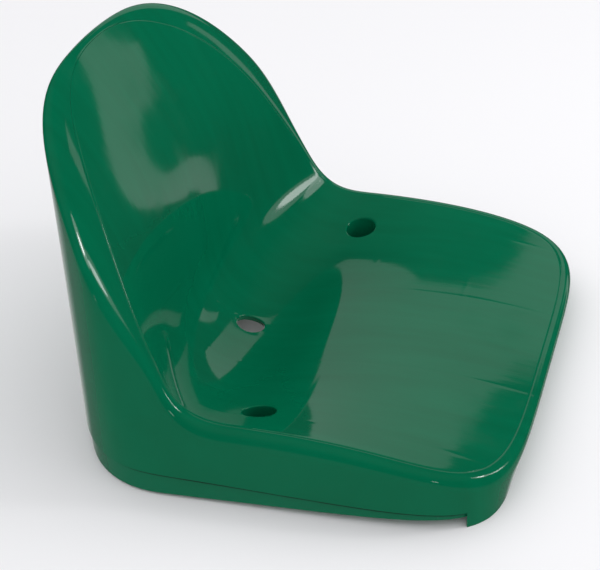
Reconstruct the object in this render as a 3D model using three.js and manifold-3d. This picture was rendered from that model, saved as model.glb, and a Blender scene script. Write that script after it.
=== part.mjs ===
// Stadium seat: a bucket shell screwed onto a wedge-shaped base frame, with two steel anchor bushes.
// Millimetres, +Z up, front towards -Y, mirror symmetric about X = 0.
// The pieces are laid out over the flat mounting plane Z = 0. The whole seat is then tipped back
// until its front lip and its rear edge both touch the floor, as it stands when it isn't bolted down.
import * as THREE from "three";
import { mergeVertices } from "three/addons/utils/BufferGeometryUtils.js";
import Module from "manifold-3d";

// Sitting face, measured along its surface from the fold between seat and back
const creaseHalfWidth = 200.2;
const faceForward = 238.5;
const faceUpward = 241.6;

// Where the rim's fold lies, beside the sitter's hips
const foldY = 69;
const foldHeight = 66.8;
const foldSetback = 5.2;
const foldLength = 89.8;
const frontDropLength = 216.4;

// Depth of the dish below the rim: front edge, mid seat, fold, mid back, top edge
const frontDishDepth = 2.2;
const seatDishDepth = 17;
const foldDishDepth = 44.6;
const backDishDepth = 17.3;
const topDishDepth = 19.8;
const dishBlendStart = 57;
const dishBlendLength = 151;

// Rim outside the crease: flat flange, then a quarter roll with its reach and its drop
const seatFlange = 4.2;
const backFlange = 5.9;
const topFlange = 1.5;
const seatRollReach = 7.3;
const backRollReach = 37.1;
const topRollReach = 14.3;
const seatRollDrop = 11.5;
const backRollDrop = 18.8;
const topRollDrop = 23;
const rollGrowthStart = 9.5;
const rollGrowthLength = 113.5;

// Foot of the skirt on the mounting plane: how far it spreads outside the rim's roll, and its reach
const skirtSpread = 8.8;
const baseCentreY = 83;
const baseForward = 248.4;
const baseRearward = 105.6;

// Shell wall, and the seam where the shell meets the base frame
const wall = 4;
const rearSeamHeight = 21.7;
const notchSeamHeight = 4.5;
const lipDrop = 7.2;
const notchY = -140.7;
const seamGap = 0.3;

// Anchor pockets, their steel bushes and the drain hole
const pocketInset = 42.1;
const pocketDistance = 47.1;
const pocketBore = 26;
const pocketWall = 3;
const pocketFloor = 3;
const drainDistance = 9.9;
const drainBore = 23;
const bushBore = 10.5;
const bushTube = 14;
const bushFlange = 24;
const bushFlangeThickness = 2;

// Ribs under the seat pan
const ribThickness = 2.4;
const ribFoot = 12.5;
const ribRearY = 88;
const midRibX = 62;
const sideRibInset = 30.2;
const frontCrossRibY = -86;
const middleCrossRibY = -1;

// Base frame
const bandInset = 2.5;
const spigotThickness = 2.4;
const spigotHeight = 7;
const panClear = 14;
const plateThickness = 3;
const flangeWidth = 24;
const padDiameter = 44;
const padHeight = 11;
const padWall = 2.4;
const padTube = 21;
const crossWidth = 26;
const crossHeight = 9;
const crossWall = 2.4;

// Screws that hold the frame to the shell
const screwInset = 13;
const columnDiameter = 12;
const columnHeight = 9;
const columnRoof = 3;
const bossDiameter = 10;
const bossTopZ = 37;
const bossWebSetback = 37.1;
const screwShank = 3.6;
const screwLength = 12;
const screwHead = 7.6;
const screwHeadHeight = 2.6;
const driveSpan = 4;
const driveWidth = 1.2;
const driveDepth = 1.3;

// Gap between separate pieces, how far a cutter overruns, and the step that probes a slope
const clearance = 0.3;
const overrun = 5;
const probeStep = 0.4;

// Angles of the side profile from the horizontal, in degrees
const frontAngle = 14.1;
const seatAngle = 1.5;
const backAngle = 69;
const topAngle = 55.7;
const backCurlShare = 1.5;

// Exponents of the outlines and of the dish
const faceShape = { sideFront: 10.7, sideRear: 1.62, endFront: 4.8, endRear: 2.36 };
const baseShape = { sideFront: 7, sideRear: 2.2, endFront: 8.7, endRear: 2.75 };
const baseTaperShare = 0.026;
const seatDishPower = 2;
const backDishPower = 2.4;
const armShare = 0.8;
const screwHeadFaceShare = 0.75;

// Directions of the screws around the base outline, in degrees from +X, right half
const screwPlaces = [
  { place: "front", angle: -58 },
  { place: "side", angle: 8 },
  { place: "rear", angle: 50 },
];

// Resolution
const sectorCount = 72;
const outerRingCount = 12;
const innerRingCount = 10;
const middleRingShare = 0.04;
const ringCrowding = 1.2;
const innerFaceShare = 0.93;
const rollSteps = 4;
const skirtSteps = 2;
const profileSteps = 400;
const solveSteps = 24;
const roundSides = 24;
const smallSides = 12;
const spokeCount = 3;

const baseHalfWidth = creaseHalfWidth + seatFlange + seatRollReach + skirtSpread;
const pocketX = creaseHalfWidth - pocketInset;
const sideRibX = creaseHalfWidth - sideRibInset;
const footHeight = -lipDrop - overrun;
const aboveAll = foldHeight + faceUpward;
const fullTurn = 2 * Math.PI;
const quarterTurn = Math.PI / 2;
const frontY = baseCentreY - baseForward;
const rearY = baseCentreY + baseRearward;

const wasm = await Module();
wasm.setup();

// Solids

function signedVolume(geometry) {
  const place = geometry.getAttribute("position");
  const corners = [new THREE.Vector3(), new THREE.Vector3(), new THREE.Vector3()];
  let sum = 0;
  for (let i = 0; i < geometry.index.count; i += 3) {
    corners.forEach((corner, k) => corner.fromBufferAttribute(place, geometry.index.getX(i + k)));
    sum += corners[0].dot(corners[1].clone().cross(corners[2]));
  }
  return sum;
}

function toSolid(geometry) {
  const bare = geometry.clone();
  bare.deleteAttribute("normal");
  bare.deleteAttribute("uv");
  const merged = mergeVertices(bare, probeStep / profileSteps);
  const triVerts = new Uint32Array(merged.index.array);
  if (signedVolume(merged) < 0) {
    for (let i = 0; i < triVerts.length; i += 3) {
      const kept = triVerts[i];
      triVerts[i] = triVerts[i + 1];
      triVerts[i + 1] = kept;
    }
  }
  const vertProperties = merged.getAttribute("position").array;
  return new wasm.Manifold(new wasm.Mesh({ numProp: 3, vertProperties, triVerts }));
}

function toGeometry(solid) {
  const mesh = solid.getMesh();
  const geometry = new THREE.BufferGeometry();
  geometry.setAttribute("position", new THREE.BufferAttribute(mesh.vertProperties, 3));
  geometry.setIndex(new THREE.BufferAttribute(mesh.triVerts, 1));
  geometry.computeVertexNormals();
  return geometry;
}

function joined(solids) {
  return solids.reduce((sum, solid) => sum.add(solid));
}

// A closed body from a stack of rings. The first and the last entry are single points.
// The diagonals of the right half mirror those of the left half.
function ringBody([startPole, ...rest]) {
  const endPole = rest.pop();
  const places = [startPole, ...rest.flat(), endPole].flatMap((point) => point.toArray());
  const corner = (ring, sector) => 1 + ring * sectorCount + (sector % sectorCount);
  const lastPole = 1 + rest.length * sectorCount;
  const index = [];
  for (let i = 0; i < sectorCount; i++) {
    const onLeft = Math.cos(((i + 1 / 2) / sectorCount) * fullTurn) < 0;
    index.push(0, corner(0, i), corner(0, i + 1));
    for (let ring = 0; ring + 1 < rest.length; ring++) {
      const [near, nearNext] = [corner(ring, i), corner(ring, i + 1)];
      const [far, farNext] = [corner(ring + 1, i), corner(ring + 1, i + 1)];
      index.push(...(onLeft ? [near, far, farNext] : [near, far, nearNext]));
      index.push(...(onLeft ? [near, farNext, nearNext] : [nearNext, far, farNext]));
    }
    index.push(corner(rest.length - 1, i), lastPole, corner(rest.length - 1, i + 1));
  }
  const geometry = new THREE.BufferGeometry();
  geometry.setAttribute("position", new THREE.Float32BufferAttribute(places, 3));
  geometry.setIndex(index);
  return toSolid(geometry);
}

function cylinder(diameter, low, high, x, y, sides = roundSides) {
  const geometry = new THREE.CylinderGeometry(diameter / 2, diameter / 2, high - low, sides);
  geometry.rotateX(quarterTurn);
  geometry.translate(x, y, (low + high) / 2);
  return toSolid(geometry);
}

function block(lowX, highX, lowY, highY, lowZ, highZ) {
  const geometry = new THREE.BoxGeometry(highX - lowX, highY - lowY, highZ - lowZ);
  geometry.translate((lowX + highX) / 2, (lowY + highY) / 2, (lowZ + highZ) / 2);
  return toSolid(geometry);
}

// Extrudes an outline drawn in Y and Z across the whole width of the seat.
function acrossWidth(outline) {
  const shape = new THREE.Shape(outline.map(([y, z]) => new THREE.Vector2(y, z)));
  const halfSpan = baseHalfWidth + backRollReach;
  const geometry = new THREE.ExtrudeGeometry(shape, { depth: 2 * halfSpan, bevelEnabled: false });
  geometry.rotateX(quarterTurn);
  geometry.rotateZ(quarterTurn);
  geometry.translate(-halfSpan, 0, 0);
  return toSolid(geometry);
}

// Curves

function smoothStep(t) {
  return THREE.MathUtils.smootherstep(t, 0, 1);
}

function blend(from, to, share) {
  return from + (to - from) * share;
}

// Angle of the rim's side profile at a distance from the fold, in radians
function profileAngle(along) {
  const frontShare = smoothStep((-along - (faceForward - frontDropLength)) / frontDropLength);
  const upShare = THREE.MathUtils.clamp(along / faceUpward, 0, 1);
  const seat = blend(seatAngle, frontAngle, frontShare);
  const back = blend(backAngle, topAngle, upShare ** backCurlShare);
  const foldShare = smoothStep((along + foldSetback + foldLength / 2) / foldLength);
  return THREE.MathUtils.degToRad(blend(seat, back, foldShare));
}

function walkProfile(reach) {
  const step = reach / profileSteps;
  const points = [new THREE.Vector2(foldY, foldHeight)];
  for (let i = 0; i < profileSteps; i++) {
    const angle = profileAngle(step * (i + 1 / 2));
    const stride = new THREE.Vector2(Math.cos(angle), Math.sin(angle)).multiplyScalar(step);
    points.push(points[i].clone().add(stride));
  }
  return { reach, points };
}

const forwardProfile = walkProfile(-faceForward - overrun);
const upwardProfile = walkProfile(faceUpward + overrun);

// Point and normal of the rim's side profile
function rimProfile(along) {
  const { reach, points } = along < 0 ? forwardProfile : upwardProfile;
  const place = (along / reach) * profileSteps;
  const i = Math.min(Math.floor(place), profileSteps - 1);
  const point = points[i].clone().lerp(points[i + 1], place - i);
  const angle = profileAngle(along);
  return { point, normal: new THREE.Vector3(0, -Math.sin(angle), Math.cos(angle)) };
}

const dishCurve = new THREE.SplineCurve(
  [frontDishDepth, seatDishDepth, foldDishDepth, backDishDepth, topDishDepth].map(
    (depth) => new THREE.Vector2(0, depth),
  ),
);

function dishDepth(along) {
  const share = along < 0 ? along / faceForward : along / faceUpward;
  return dishCurve.getPoint(THREE.MathUtils.clamp((1 + share) / 2, 0, 1)).y;
}

function facePoint(x, along) {
  const { point, normal } = rimProfile(along);
  const backShare = smoothStep((along + dishBlendStart) / dishBlendLength);
  const power = blend(seatDishPower, backDishPower, backShare);
  const depth = dishDepth(along) * (1 - (Math.abs(x) / creaseHalfWidth) ** power);
  return new THREE.Vector3(x, point.x, point.y).addScaledVector(normal, -depth);
}

function faceNormal(x, along) {
  const across = facePoint(x + probeStep, along).sub(facePoint(x - probeStep, along));
  const upward = facePoint(x, along + probeStep).sub(facePoint(x, along - probeStep));
  return across.cross(upward).normalize();
}

// Distance from an outline's centre to its edge, on an oval whose sides and ends have their own powers
function outlineReach(angle, halfWidth, forward, rearward, shape) {
  const front = Math.sin(angle) < 0;
  const across = Math.abs(Math.cos(angle)) / halfWidth;
  const along = Math.abs(Math.sin(angle)) / (front ? forward : rearward);
  const sidePower = front ? shape.sideFront : shape.sideRear;
  const endPower = front ? shape.endFront : shape.endRear;
  let reach = 1 / Math.max(across, along);
  for (let i = 0; i < solveSteps; i++) {
    const end = (reach * across) ** endPower;
    const side = (reach * along) ** sidePower;
    reach -= (reach * (end + side - 1)) / (endPower * end + sidePower * side);
  }
  return reach;
}

// Point on the foot of the skirt in a direction from the base centre
function basePoint(angle) {
  const reach = outlineReach(angle, baseHalfWidth, baseForward, baseRearward, baseShape);
  const along = reach * Math.sin(angle);
  const narrowing = 1 + (baseTaperShare * Math.min(along, 0)) / baseForward;
  return new THREE.Vector3(reach * Math.cos(angle) * narrowing, baseCentreY + along, 0);
}

function baseNormal(angle) {
  const probe = probeStep / baseHalfWidth;
  const tangent = basePoint(angle + probe).sub(basePoint(angle - probe)).normalize();
  return new THREE.Vector3(tangent.y, -tangent.x, 0);
}

// The rim and the skirt in each sector around the seat
function layOutSectors() {
  const sectors = [];
  for (let i = 0; i < sectorCount; i++) {
    const turn = (i / sectorCount) * fullTurn;
    const along = Math.sin(turn) < 0 ? faceForward : faceUpward;
    const angle = Math.atan2(along * Math.sin(turn), creaseHalfWidth * Math.cos(turn));
    const reach = outlineReach(angle, creaseHalfWidth, faceForward, faceUpward, faceShape);
    const sector = { x: reach * Math.cos(angle), along: reach * Math.sin(angle) };
    sector.crease = facePoint(sector.x, sector.along);
    sectors.push(sector);
  }
  sectors.forEach((sector, i) => dressSector(sector, sectors.at(i - 1), sectors[(i + 1) % sectorCount]));
  return sectors;
}

function dressSector(sector, before, after) {
  const tangent = after.crease.clone().sub(before.crease).normalize();
  const { normal } = rimProfile(sector.along);
  const growth = smoothStep((sector.crease.z - foldHeight - rollGrowthStart) / rollGrowthLength);
  const arm = smoothStep(Math.abs(sector.x) / (creaseHalfWidth * armShare));
  const rimSize = (seat, back, top) => blend(seat, blend(top, back, arm), growth);
  const direction = Math.atan2(sector.crease.y - baseCentreY, sector.crease.x);
  sector.outward = tangent.cross(normal).normalize();
  sector.flange = rimSize(seatFlange, backFlange, topFlange);
  sector.reach = rimSize(seatRollReach, backRollReach, topRollReach);
  sector.drop = rimSize(seatRollDrop, backRollDrop, topRollDrop);
  sector.base = basePoint(direction);
  sector.baseNormal = baseNormal(direction);
  const edge = sector.crease.clone().addScaledVector(sector.outward, sector.flange + sector.reach);
  sector.down = sector.base.clone().sub(edge).normalize();
  sector.dropShare = -1 / sector.down.dot(normal);
  sector.reachShare = 1 / sector.down.clone().cross(sector.outward).length();
}

const sectors = layOutSectors();

// A point on the rim's roll, at a depth under the outer skin.
// Turn 0 is the flange, and a quarter turn is the head of the skirt.
function rollPoint(sector, turn, depth) {
  const reach = sector.flange + (sector.reach - depth * sector.reachShare) * Math.sin(turn);
  const drop = sector.drop - (sector.drop - depth * sector.dropShare) * Math.cos(turn);
  return sector.crease.clone().addScaledVector(sector.outward, reach).addScaledVector(sector.down, drop);
}

// A point on the skirt, from the roll at share 0 through the mounting plane to under the lip at share 1
function skirtPoint(sector, share, depth) {
  const foot = sector.base.clone().addScaledVector(sector.baseNormal, -depth);
  const head = rollPoint(sector, quarterTurn, depth);
  return head.lerp(foot, share * (1 - footHeight / head.z));
}

function faceRing(share, depth) {
  return sectors.map(({ x, along }) => {
    const normal = faceNormal(share * x, share * along);
    return facePoint(share * x, share * along).addScaledVector(normal, -depth);
  });
}

// All rings of the skin at a depth under the outer surface, from the middle of the face to the foot
function skinRings(depth) {
  const rings = [];
  const [ringCount, reach] = depth > 0 ? [innerRingCount, innerFaceShare] : [outerRingCount, 1];
  rings.push(faceRing(middleRingShare, depth));
  for (let i = 1; i <= ringCount; i++) {
    const share = 1 - (1 - i / ringCount) ** ringCrowding;
    rings.push(faceRing(share * reach, depth));
  }
  for (let i = 0; i <= rollSteps; i++) {
    rings.push(sectors.map((sector) => rollPoint(sector, (i / rollSteps) * quarterTurn, depth)));
  }
  for (let i = 1; i <= skirtSteps; i++) {
    rings.push(sectors.map((sector) => skirtPoint(sector, i / skirtSteps, depth)));
  }
  return rings;
}

// Everything inside the skin at a depth, closed flat under the lip
function filledSkin(depth) {
  const middle = facePoint(0, 0).addScaledVector(faceNormal(0, 0), -depth);
  return ringBody([middle, ...skinRings(depth), new THREE.Vector3(0, baseCentreY, footHeight)]);
}

// The layer between two depths under the outer surface, between two heights, clear of the pan
function skirtLayer(outerDepth, innerDepth, low, high) {
  const core = ringBody([
    new THREE.Vector3(0, baseCentreY, aboveAll),
    footRing(panClear, aboveAll),
    footRing(panClear, footHeight - overrun),
    new THREE.Vector3(0, baseCentreY, footHeight - overrun),
  ]);
  return filledSkin(outerDepth).intersect(slice(low, high)).subtract(filledSkin(innerDepth).add(core));
}

// The foot outline drawn in by a depth, at a height
function footRing(depth, height) {
  return sectors.map(({ base, baseNormal }) => {
    const point = base.clone().addScaledVector(baseNormal, -depth);
    return point.setZ(height);
  });
}

// All space between two heights
function slice(low, high) {
  const width = baseHalfWidth + backRollReach;
  return block(-width, width, frontY - backRollReach, rearY + backRollReach, low, high);
}

function seamHeight(y) {
  return rearSeamHeight + ((notchSeamHeight - rearSeamHeight) * (rearY - y)) / (rearY - notchY);
}

// Everything under the seam line, from a front end to behind the seat
function underSeam(startY, rise) {
  const endY = rearY + backRollReach;
  return acrossWidth([
    [startY, footHeight - overrun],
    [endY, footHeight - overrun],
    [endY, seamHeight(endY) + rise],
    [startY, seamHeight(startY) + rise],
  ]);
}

// Places shared by the shell, the frame and the hardware

const anchorFloorZ = padHeight + clearance + pocketFloor;
const anchorY = facePoint(pocketX, -pocketDistance).y;
const drainY = facePoint(0, -drainDistance).y;
const anchorXs = [-pocketX, pocketX];
const bossFootZ = columnHeight + clearance;
const screwSeatZ = columnHeight - columnRoof;
const spigotInset = wall + clearance;
const spigotInnerInset = spigotInset + spigotThickness;

const screwSpots = screwPlaces.flatMap(({ place, angle }) => {
  const direction = THREE.MathUtils.degToRad(angle);
  const normal = baseNormal(direction);
  const { x, y } = basePoint(direction).addScaledVector(normal, -screwInset);
  const facing = Math.atan2(normal.y, normal.x);
  return [
    { name: "screw_" + place + "_right", x, y, facing },
    { name: "screw_" + place + "_left", x: -x, y, facing: Math.PI - facing },
  ];
});

// Seat shell

function shellWall() {
  const skin = filledSkin(0).subtract(filledSkin(wall));
  return skin.intersect(slice(-lipDrop, aboveAll)).subtract(underSeam(notchY, 0));
}

// The crossing ribs under the pan
function ribGrid() {
  const half = ribThickness / 2;
  const lengthwise = (x, endY) => block(x - half, x + half, frontY, endY, ribFoot, foldHeight);
  const across = (y) => block(-baseHalfWidth, baseHalfWidth, y - half, y + half, ribFoot, foldHeight);
  return joined([
    ...[-midRibX, midRibX].map((x) => lengthwise(x, ribRearY)),
    ...[-sideRibX, sideRibX].map((x) => lengthwise(x, anchorY)),
    ...[frontCrossRibY, middleCrossRibY].map(across),
  ]);
}

function anchorCup(x) {
  return cylinder(pocketBore + 2 * pocketWall, anchorFloorZ - pocketFloor, foldHeight, x, anchorY);
}

// A boss for a screw, tied to the skirt by a web that the skirt's own wall then trims
function screwBoss({ x, y, facing }) {
  const boss = cylinder(bossDiameter, bossFootZ, bossTopZ, x, y, smallSides);
  const reach = screwInset + (backRollReach - bossWebSetback);
  const web = new THREE.BoxGeometry(reach, ribThickness, bossTopZ - bossFootZ);
  web.translate(reach / 2, 0, (bossFootZ + bossTopZ) / 2);
  web.rotateZ(facing);
  web.translate(x, y, 0);
  return boss.add(toSolid(web));
}

// Ribs, cups and bosses, cut back where the spigot of the frame runs along the skirt
function stiffening() {
  const solids = [ribGrid(), ...anchorXs.map(anchorCup), ...screwSpots.map(screwBoss)];
  const spigotRoom = skirtLayer(0, spigotInnerInset + clearance, footHeight, bossTopZ)
    .intersect(underSeam(frontY - backRollReach, spigotHeight + clearance));
  return joined(solids).intersect(filledSkin(wall / 2)).subtract(spigotRoom);
}

function seatShell() {
  const pilot = screwShank + clearance;
  const pilotTop = screwSeatZ + screwLength + clearance;
  const cutters = [
    cylinder(drainBore, -overrun, foldHeight, 0, drainY),
    ...anchorXs.map((x) => cylinder(pocketBore, anchorFloorZ, aboveAll, x, anchorY)),
    ...anchorXs.map((x) => cylinder(bushTube + 2 * clearance, -overrun, aboveAll, x, anchorY)),
    ...screwSpots.map(({ x, y }) => cylinder(pilot, 0, pilotTop, x, y, smallSides)),
  ];
  return shellWall().add(stiffening()).subtract(joined(cutters));
}

// Base frame, drawn a little past the mounting plane and then cut flat on it

function frameBand() {
  const high = rearSeamHeight + spigotHeight;
  const band = skirtLayer(bandInset, spigotInnerInset, -overrun, high);
  const spigot = skirtLayer(spigotInset, spigotInnerInset, -overrun, high);
  const belowSeam = band.intersect(underSeam(notchY + seamGap, -seamGap));
  return belowSeam.add(spigot.intersect(underSeam(frontY, spigotHeight)));
}

function framePlate() {
  const edge = spigotInset + spigotThickness / 2;
  const plate = filledSkin(edge).intersect(slice(-overrun, plateThickness));
  const window = [
    new THREE.Vector3(0, baseCentreY, plateThickness + overrun),
    footRing(flangeWidth, plateThickness + overrun),
    footRing(flangeWidth, footHeight),
    new THREE.Vector3(0, baseCentreY, footHeight),
  ];
  return plate.subtract(ringBody(window));
}

function anchorPad(x) {
  const side = Math.sign(x);
  const edge = side * (baseHalfWidth - flangeWidth / 2);
  const reach = padDiameter / 2;
  const [lowX, highX] = [Math.min(x, edge), Math.max(x, edge)];
  const web = block(lowX, highX, anchorY - reach, anchorY + reach, -overrun, plateThickness);
  const rim = cylinder(padDiameter, -overrun, padHeight, x, anchorY);
  const hollow = cylinder(padDiameter - 2 * padWall, plateThickness, padHeight + overrun, x, anchorY);
  const tube = cylinder(padTube, -overrun, padHeight, x, anchorY);
  const spokes = Array.from({ length: spokeCount }, (unused, i) => {
    const spoke = new THREE.BoxGeometry(padDiameter - padWall, padWall, padHeight);
    spoke.rotateZ((i * Math.PI) / spokeCount);
    spoke.translate(x, anchorY, padHeight / 2);
    return toSolid(spoke);
  });
  return joined([web, rim.subtract(hollow), tube, ...spokes]);
}

function crossMember() {
  const half = crossWidth / 2;
  const reach = pocketX;
  const [frontEdge, rearEdge] = [anchorY - half, anchorY + half];
  const floor = block(-reach, reach, frontEdge, rearEdge, -overrun, plateThickness);
  const front = block(-reach, reach, frontEdge, frontEdge + crossWall, -overrun, crossHeight);
  const rear = block(-reach, reach, rearEdge - crossWall, rearEdge, -overrun, crossHeight);
  const padClear = anchorXs.map((x) =>
    cylinder(padDiameter - 2 * padWall, plateThickness, padHeight + overrun, x, anchorY),
  );
  return joined([floor, front, rear]).subtract(joined(padClear));
}

function screwColumn({ x, y }) {
  return cylinder(columnDiameter, -overrun, columnHeight, x, y, smallSides);
}

function baseFrame() {
  const body = joined([
    frameBand(),
    framePlate(),
    crossMember(),
    ...anchorXs.map(anchorPad),
    ...screwSpots.map(screwColumn),
  ]);
  const headHole = screwHead + 2 * clearance;
  const shankHole = screwShank + 2 * clearance;
  const cutters = [
    ...anchorXs.map((x) => cylinder(bushTube + 2 * clearance, -overrun, padHeight + overrun, x, anchorY)),
    ...screwSpots.map(({ x, y }) => cylinder(headHole, -overrun, screwSeatZ, x, y, smallSides)),
    ...screwSpots.map(({ x, y }) => cylinder(shankHole, 0, columnHeight + overrun, x, y, smallSides)),
  ];
  return body.subtract(joined(cutters)).intersect(slice(0, aboveAll));
}

// Steel hardware, each piece turned about its own axis

function turned(profile, sides) {
  const points = profile.map(([radius, height]) => new THREE.Vector2(radius, height));
  const geometry = new THREE.LatheGeometry([...points, points[0].clone()], sides);
  geometry.rotateX(quarterTurn);
  return toSolid(geometry);
}

// A tube through the pocket floor and the pad, with a flange that spreads the load on the pocket floor
function anchorBush() {
  const shoulder = anchorFloorZ + clearance;
  const top = shoulder + bushFlangeThickness;
  return turned(
    [
      [bushBore / 2, 0],
      [bushTube / 2, 0],
      [bushTube / 2, shoulder],
      [bushFlange / 2, shoulder],
      [bushFlange / 2, top],
      [bushBore / 2, top],
    ],
    roundSides,
  );
}

// A pan-head screw, point up, with a cross recess in its head
function frameScrew() {
  const headRadius = screwHead / 2;
  const shankRadius = screwShank / 2;
  const body = turned(
    [
      [0, -screwHeadHeight],
      [headRadius * screwHeadFaceShare, -screwHeadHeight],
      [headRadius, -screwHeadHeight / 2],
      [headRadius, 0],
      [shankRadius, 0],
      [shankRadius, screwLength - screwShank],
      [0, screwLength],
    ],
    smallSides,
  );
  const [arm, half] = [driveSpan / 2, driveWidth / 2];
  const low = -screwHeadHeight - overrun;
  const high = -screwHeadHeight + driveDepth;
  const slots = [block(-arm, arm, -half, half, low, high), block(-half, half, -arm, arm, low, high)];
  return body.subtract(joined(slots));
}

// Materials

const plastic = new THREE.MeshStandardMaterial({ color: 0x00613c, roughness: 0.16, metalness: 0 });
const framePlastic = new THREE.MeshStandardMaterial({ color: 0x0a5e40, roughness: 0.3, metalness: 0 });
const bushSteel = new THREE.MeshStandardMaterial({ color: 0xa9adb0, roughness: 0.35, metalness: 1 });
const screwSteel = new THREE.MeshStandardMaterial({ color: 0xc2c4c0, roughness: 0.3, metalness: 1 });

function piece(name, solid, material) {
  const mesh = new THREE.Mesh(toGeometry(solid), material);
  mesh.name = name;
  return mesh;
}

// Assembly

function anchorSet() {
  const set = new THREE.Group();
  anchorXs.forEach((x) => {
    const bush = piece(x < 0 ? "anchor_bush_left" : "anchor_bush_right", anchorBush(), bushSteel);
    bush.position.set(x, anchorY, 0);
    set.add(bush);
  });
  return set;
}

function screwSet() {
  const set = new THREE.Group();
  screwSpots.forEach(({ name, x, y }) => {
    const screw = piece(name, frameScrew(), screwSteel);
    screw.position.set(x, y, screwSeatZ - clearance);
    set.add(screw);
  });
  return set;
}

// Tips the seat about its rear edge until the lip is level with it.
function tipped(seat) {
  const hinge = new THREE.Group();
  seat.position.y = -rearY;
  hinge.position.y = rearY;
  hinge.rotation.x = -Math.asin(lipDrop / (rearY - notchY));
  hinge.add(seat);
  return hinge;
}

const seat = new THREE.Group();
seat.add(piece("seat_shell", seatShell(), plastic));
seat.add(piece("base_frame", baseFrame(), framePlastic));
seat.add(anchorSet(), screwSet());

const stadiumSeat = new THREE.Group();
stadiumSeat.name = "stadium_seat";
stadiumSeat.add(tipped(seat));
stadiumSeat.updateMatrixWorld(true);

// The origin is under the middle of the seat, on the floor.
const extent = new THREE.Box3().setFromObject(stadiumSeat, true);
stadiumSeat.position.set(0, -(extent.min.y + extent.max.y) / 2, -extent.min.z);

export default stadiumSeat;
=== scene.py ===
import math
from functools import partial

import bmesh
import bpy
import numpy as np
from mathutils import Matrix, Vector


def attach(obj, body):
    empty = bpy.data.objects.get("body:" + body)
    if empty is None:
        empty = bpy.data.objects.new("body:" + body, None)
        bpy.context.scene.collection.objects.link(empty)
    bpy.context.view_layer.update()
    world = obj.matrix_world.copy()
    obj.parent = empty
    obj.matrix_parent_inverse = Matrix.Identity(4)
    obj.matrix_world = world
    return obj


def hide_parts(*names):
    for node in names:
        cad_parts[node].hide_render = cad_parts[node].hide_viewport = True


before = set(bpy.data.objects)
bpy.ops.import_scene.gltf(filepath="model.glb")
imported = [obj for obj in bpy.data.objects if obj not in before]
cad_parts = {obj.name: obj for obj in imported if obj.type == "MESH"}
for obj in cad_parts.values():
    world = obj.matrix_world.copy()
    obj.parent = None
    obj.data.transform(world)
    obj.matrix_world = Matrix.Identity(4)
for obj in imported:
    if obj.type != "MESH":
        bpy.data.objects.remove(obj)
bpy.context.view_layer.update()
print("frame loaded:", sorted(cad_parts))

# The seat is modelled in millimetres over its mounting plane, front towards -Y.
# The rest matrix tips it onto its front lip and rear edge, centres it and makes it metres.

face = {
    "halfWidth": 200.2, "forward": 238.5, "upward": 241.6,  # sitting face, along its surface from the fold
    "foldY": 69, "foldHeight": 66.8, "foldSetback": 5.2, "foldLength": 89.8, "frontDrop": 216.4,
    "frontAngle": 14.1, "seatAngle": 1.5, "backAngle": 69, "topAngle": 55.7, "curl": 1.5,
    "dish": (2.2, 17, 44.6, 17.3, 19.8),  # depth at front, mid seat, fold, mid back, top
    "dishStart": 57, "dishLength": 151, "seatPower": 2, "backPower": 2.4,
    "shape": {"sideFront": 10.7, "sideRear": 1.62, "endFront": 4.8, "endRear": 2.36},
    # the pan lies level round the drain
    "level": {"along": 9.9, "tilt": 0.37, "front": 58, "rear": 27, "width": 120},
}
rim = {
    "flange": (4.2, 5.9, 1.5), "reach": (7.3, 37.1, 14.3), "drop": (11.5, 18.8, 23),  # seat, back, top
    "growthStart": 9.5, "growthLength": 113.5, "armShare": 0.8,
    "creaseSoftness": 2,  # passes that round the line between dish and flange
    "softened": (6, 8),  # rings within and outside the flange that they reach
    "grooveDepth": 0.3,  # fine line that runs round beside the crease
}
base = {
    "halfWidth": 220.5, "centreY": 83, "forward": 248.4, "rearward": 105.6, "taper": 0.026,
    "shape": {"sideFront": 7, "sideRear": 2.2, "endFront": 8.7, "endRear": 2.75},
}
shell = {
    "wall": 4, "rearSeam": 21.7, "notchSeam": 4.5, "lipDrop": 7.2, "notchY": -140.7, "gap": 0.3,
    "sectors": 360, "faceRings": 60, "innerRings": 22, "innerShare": 0.93, "crowding": 1.3,
    "middleShare": 0.03, "flangeRings": 3, "rollRings": 18, "skirtRings": 16,
}
# fitY keeps the fine roll inside the plain one's box
rest = {"shiftY": -19.7501, "shiftZ": -0.0017, "fitY": 0.9993, "sharpAngle": 38}
search = {  # how finely curves and crossings are worked out
    "profileSteps": 1600, "lowest": -200.0, "highest": 40.0, "halvings": 40, "newtonSteps": 30,
    "faceProbe": 0.4, "angleProbe": 0.002, "weld": 0.0005,
}
roundness = {"bore": 96, "post": 48, "pin": 32}

overrun = 5  # how far cutting bodies reach past what they cut
margin = 40
footHeight = -shell["lipDrop"] - overrun
aboveAll = face["foldHeight"] + face["upward"]
frontY = base["centreY"] - base["forward"]
rearY = base["centreY"] + base["rearward"]
tip = math.asin(shell["lipDrop"] / (rearY - shell["notchY"]))
restMatrix = (
    Matrix.Diagonal((0.001, 0.001 * rest["fitY"], 0.001, 1))
    @ Matrix.Translation((0, rearY + rest["shiftY"], rest["shiftZ"]))
    @ Matrix.Rotation(-tip, 4, "X")
    @ Matrix.Translation((0, -rearY, 0))
)


# Curves of the moulded face

def smooth(t):
    t = np.clip(t, 0, 1)
    return t ** 3 * (t * (6 * t - 15) + 10)


def mix(a, b, share):
    return a + (b - a) * share


def unit(v):
    return v / np.linalg.norm(v, axis=-1, keepdims=True)


def profileAngle(v):
    frontShare = smooth((-v - (face["forward"] - face["frontDrop"])) / face["frontDrop"])
    seat = mix(face["seatAngle"], face["frontAngle"], frontShare)
    back = mix(face["backAngle"], face["topAngle"], np.clip(v / face["upward"], 0, 1) ** face["curl"])
    fold = smooth((v + face["foldSetback"] + face["foldLength"] / 2) / face["foldLength"])
    return np.radians(mix(seat, back, fold))


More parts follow.
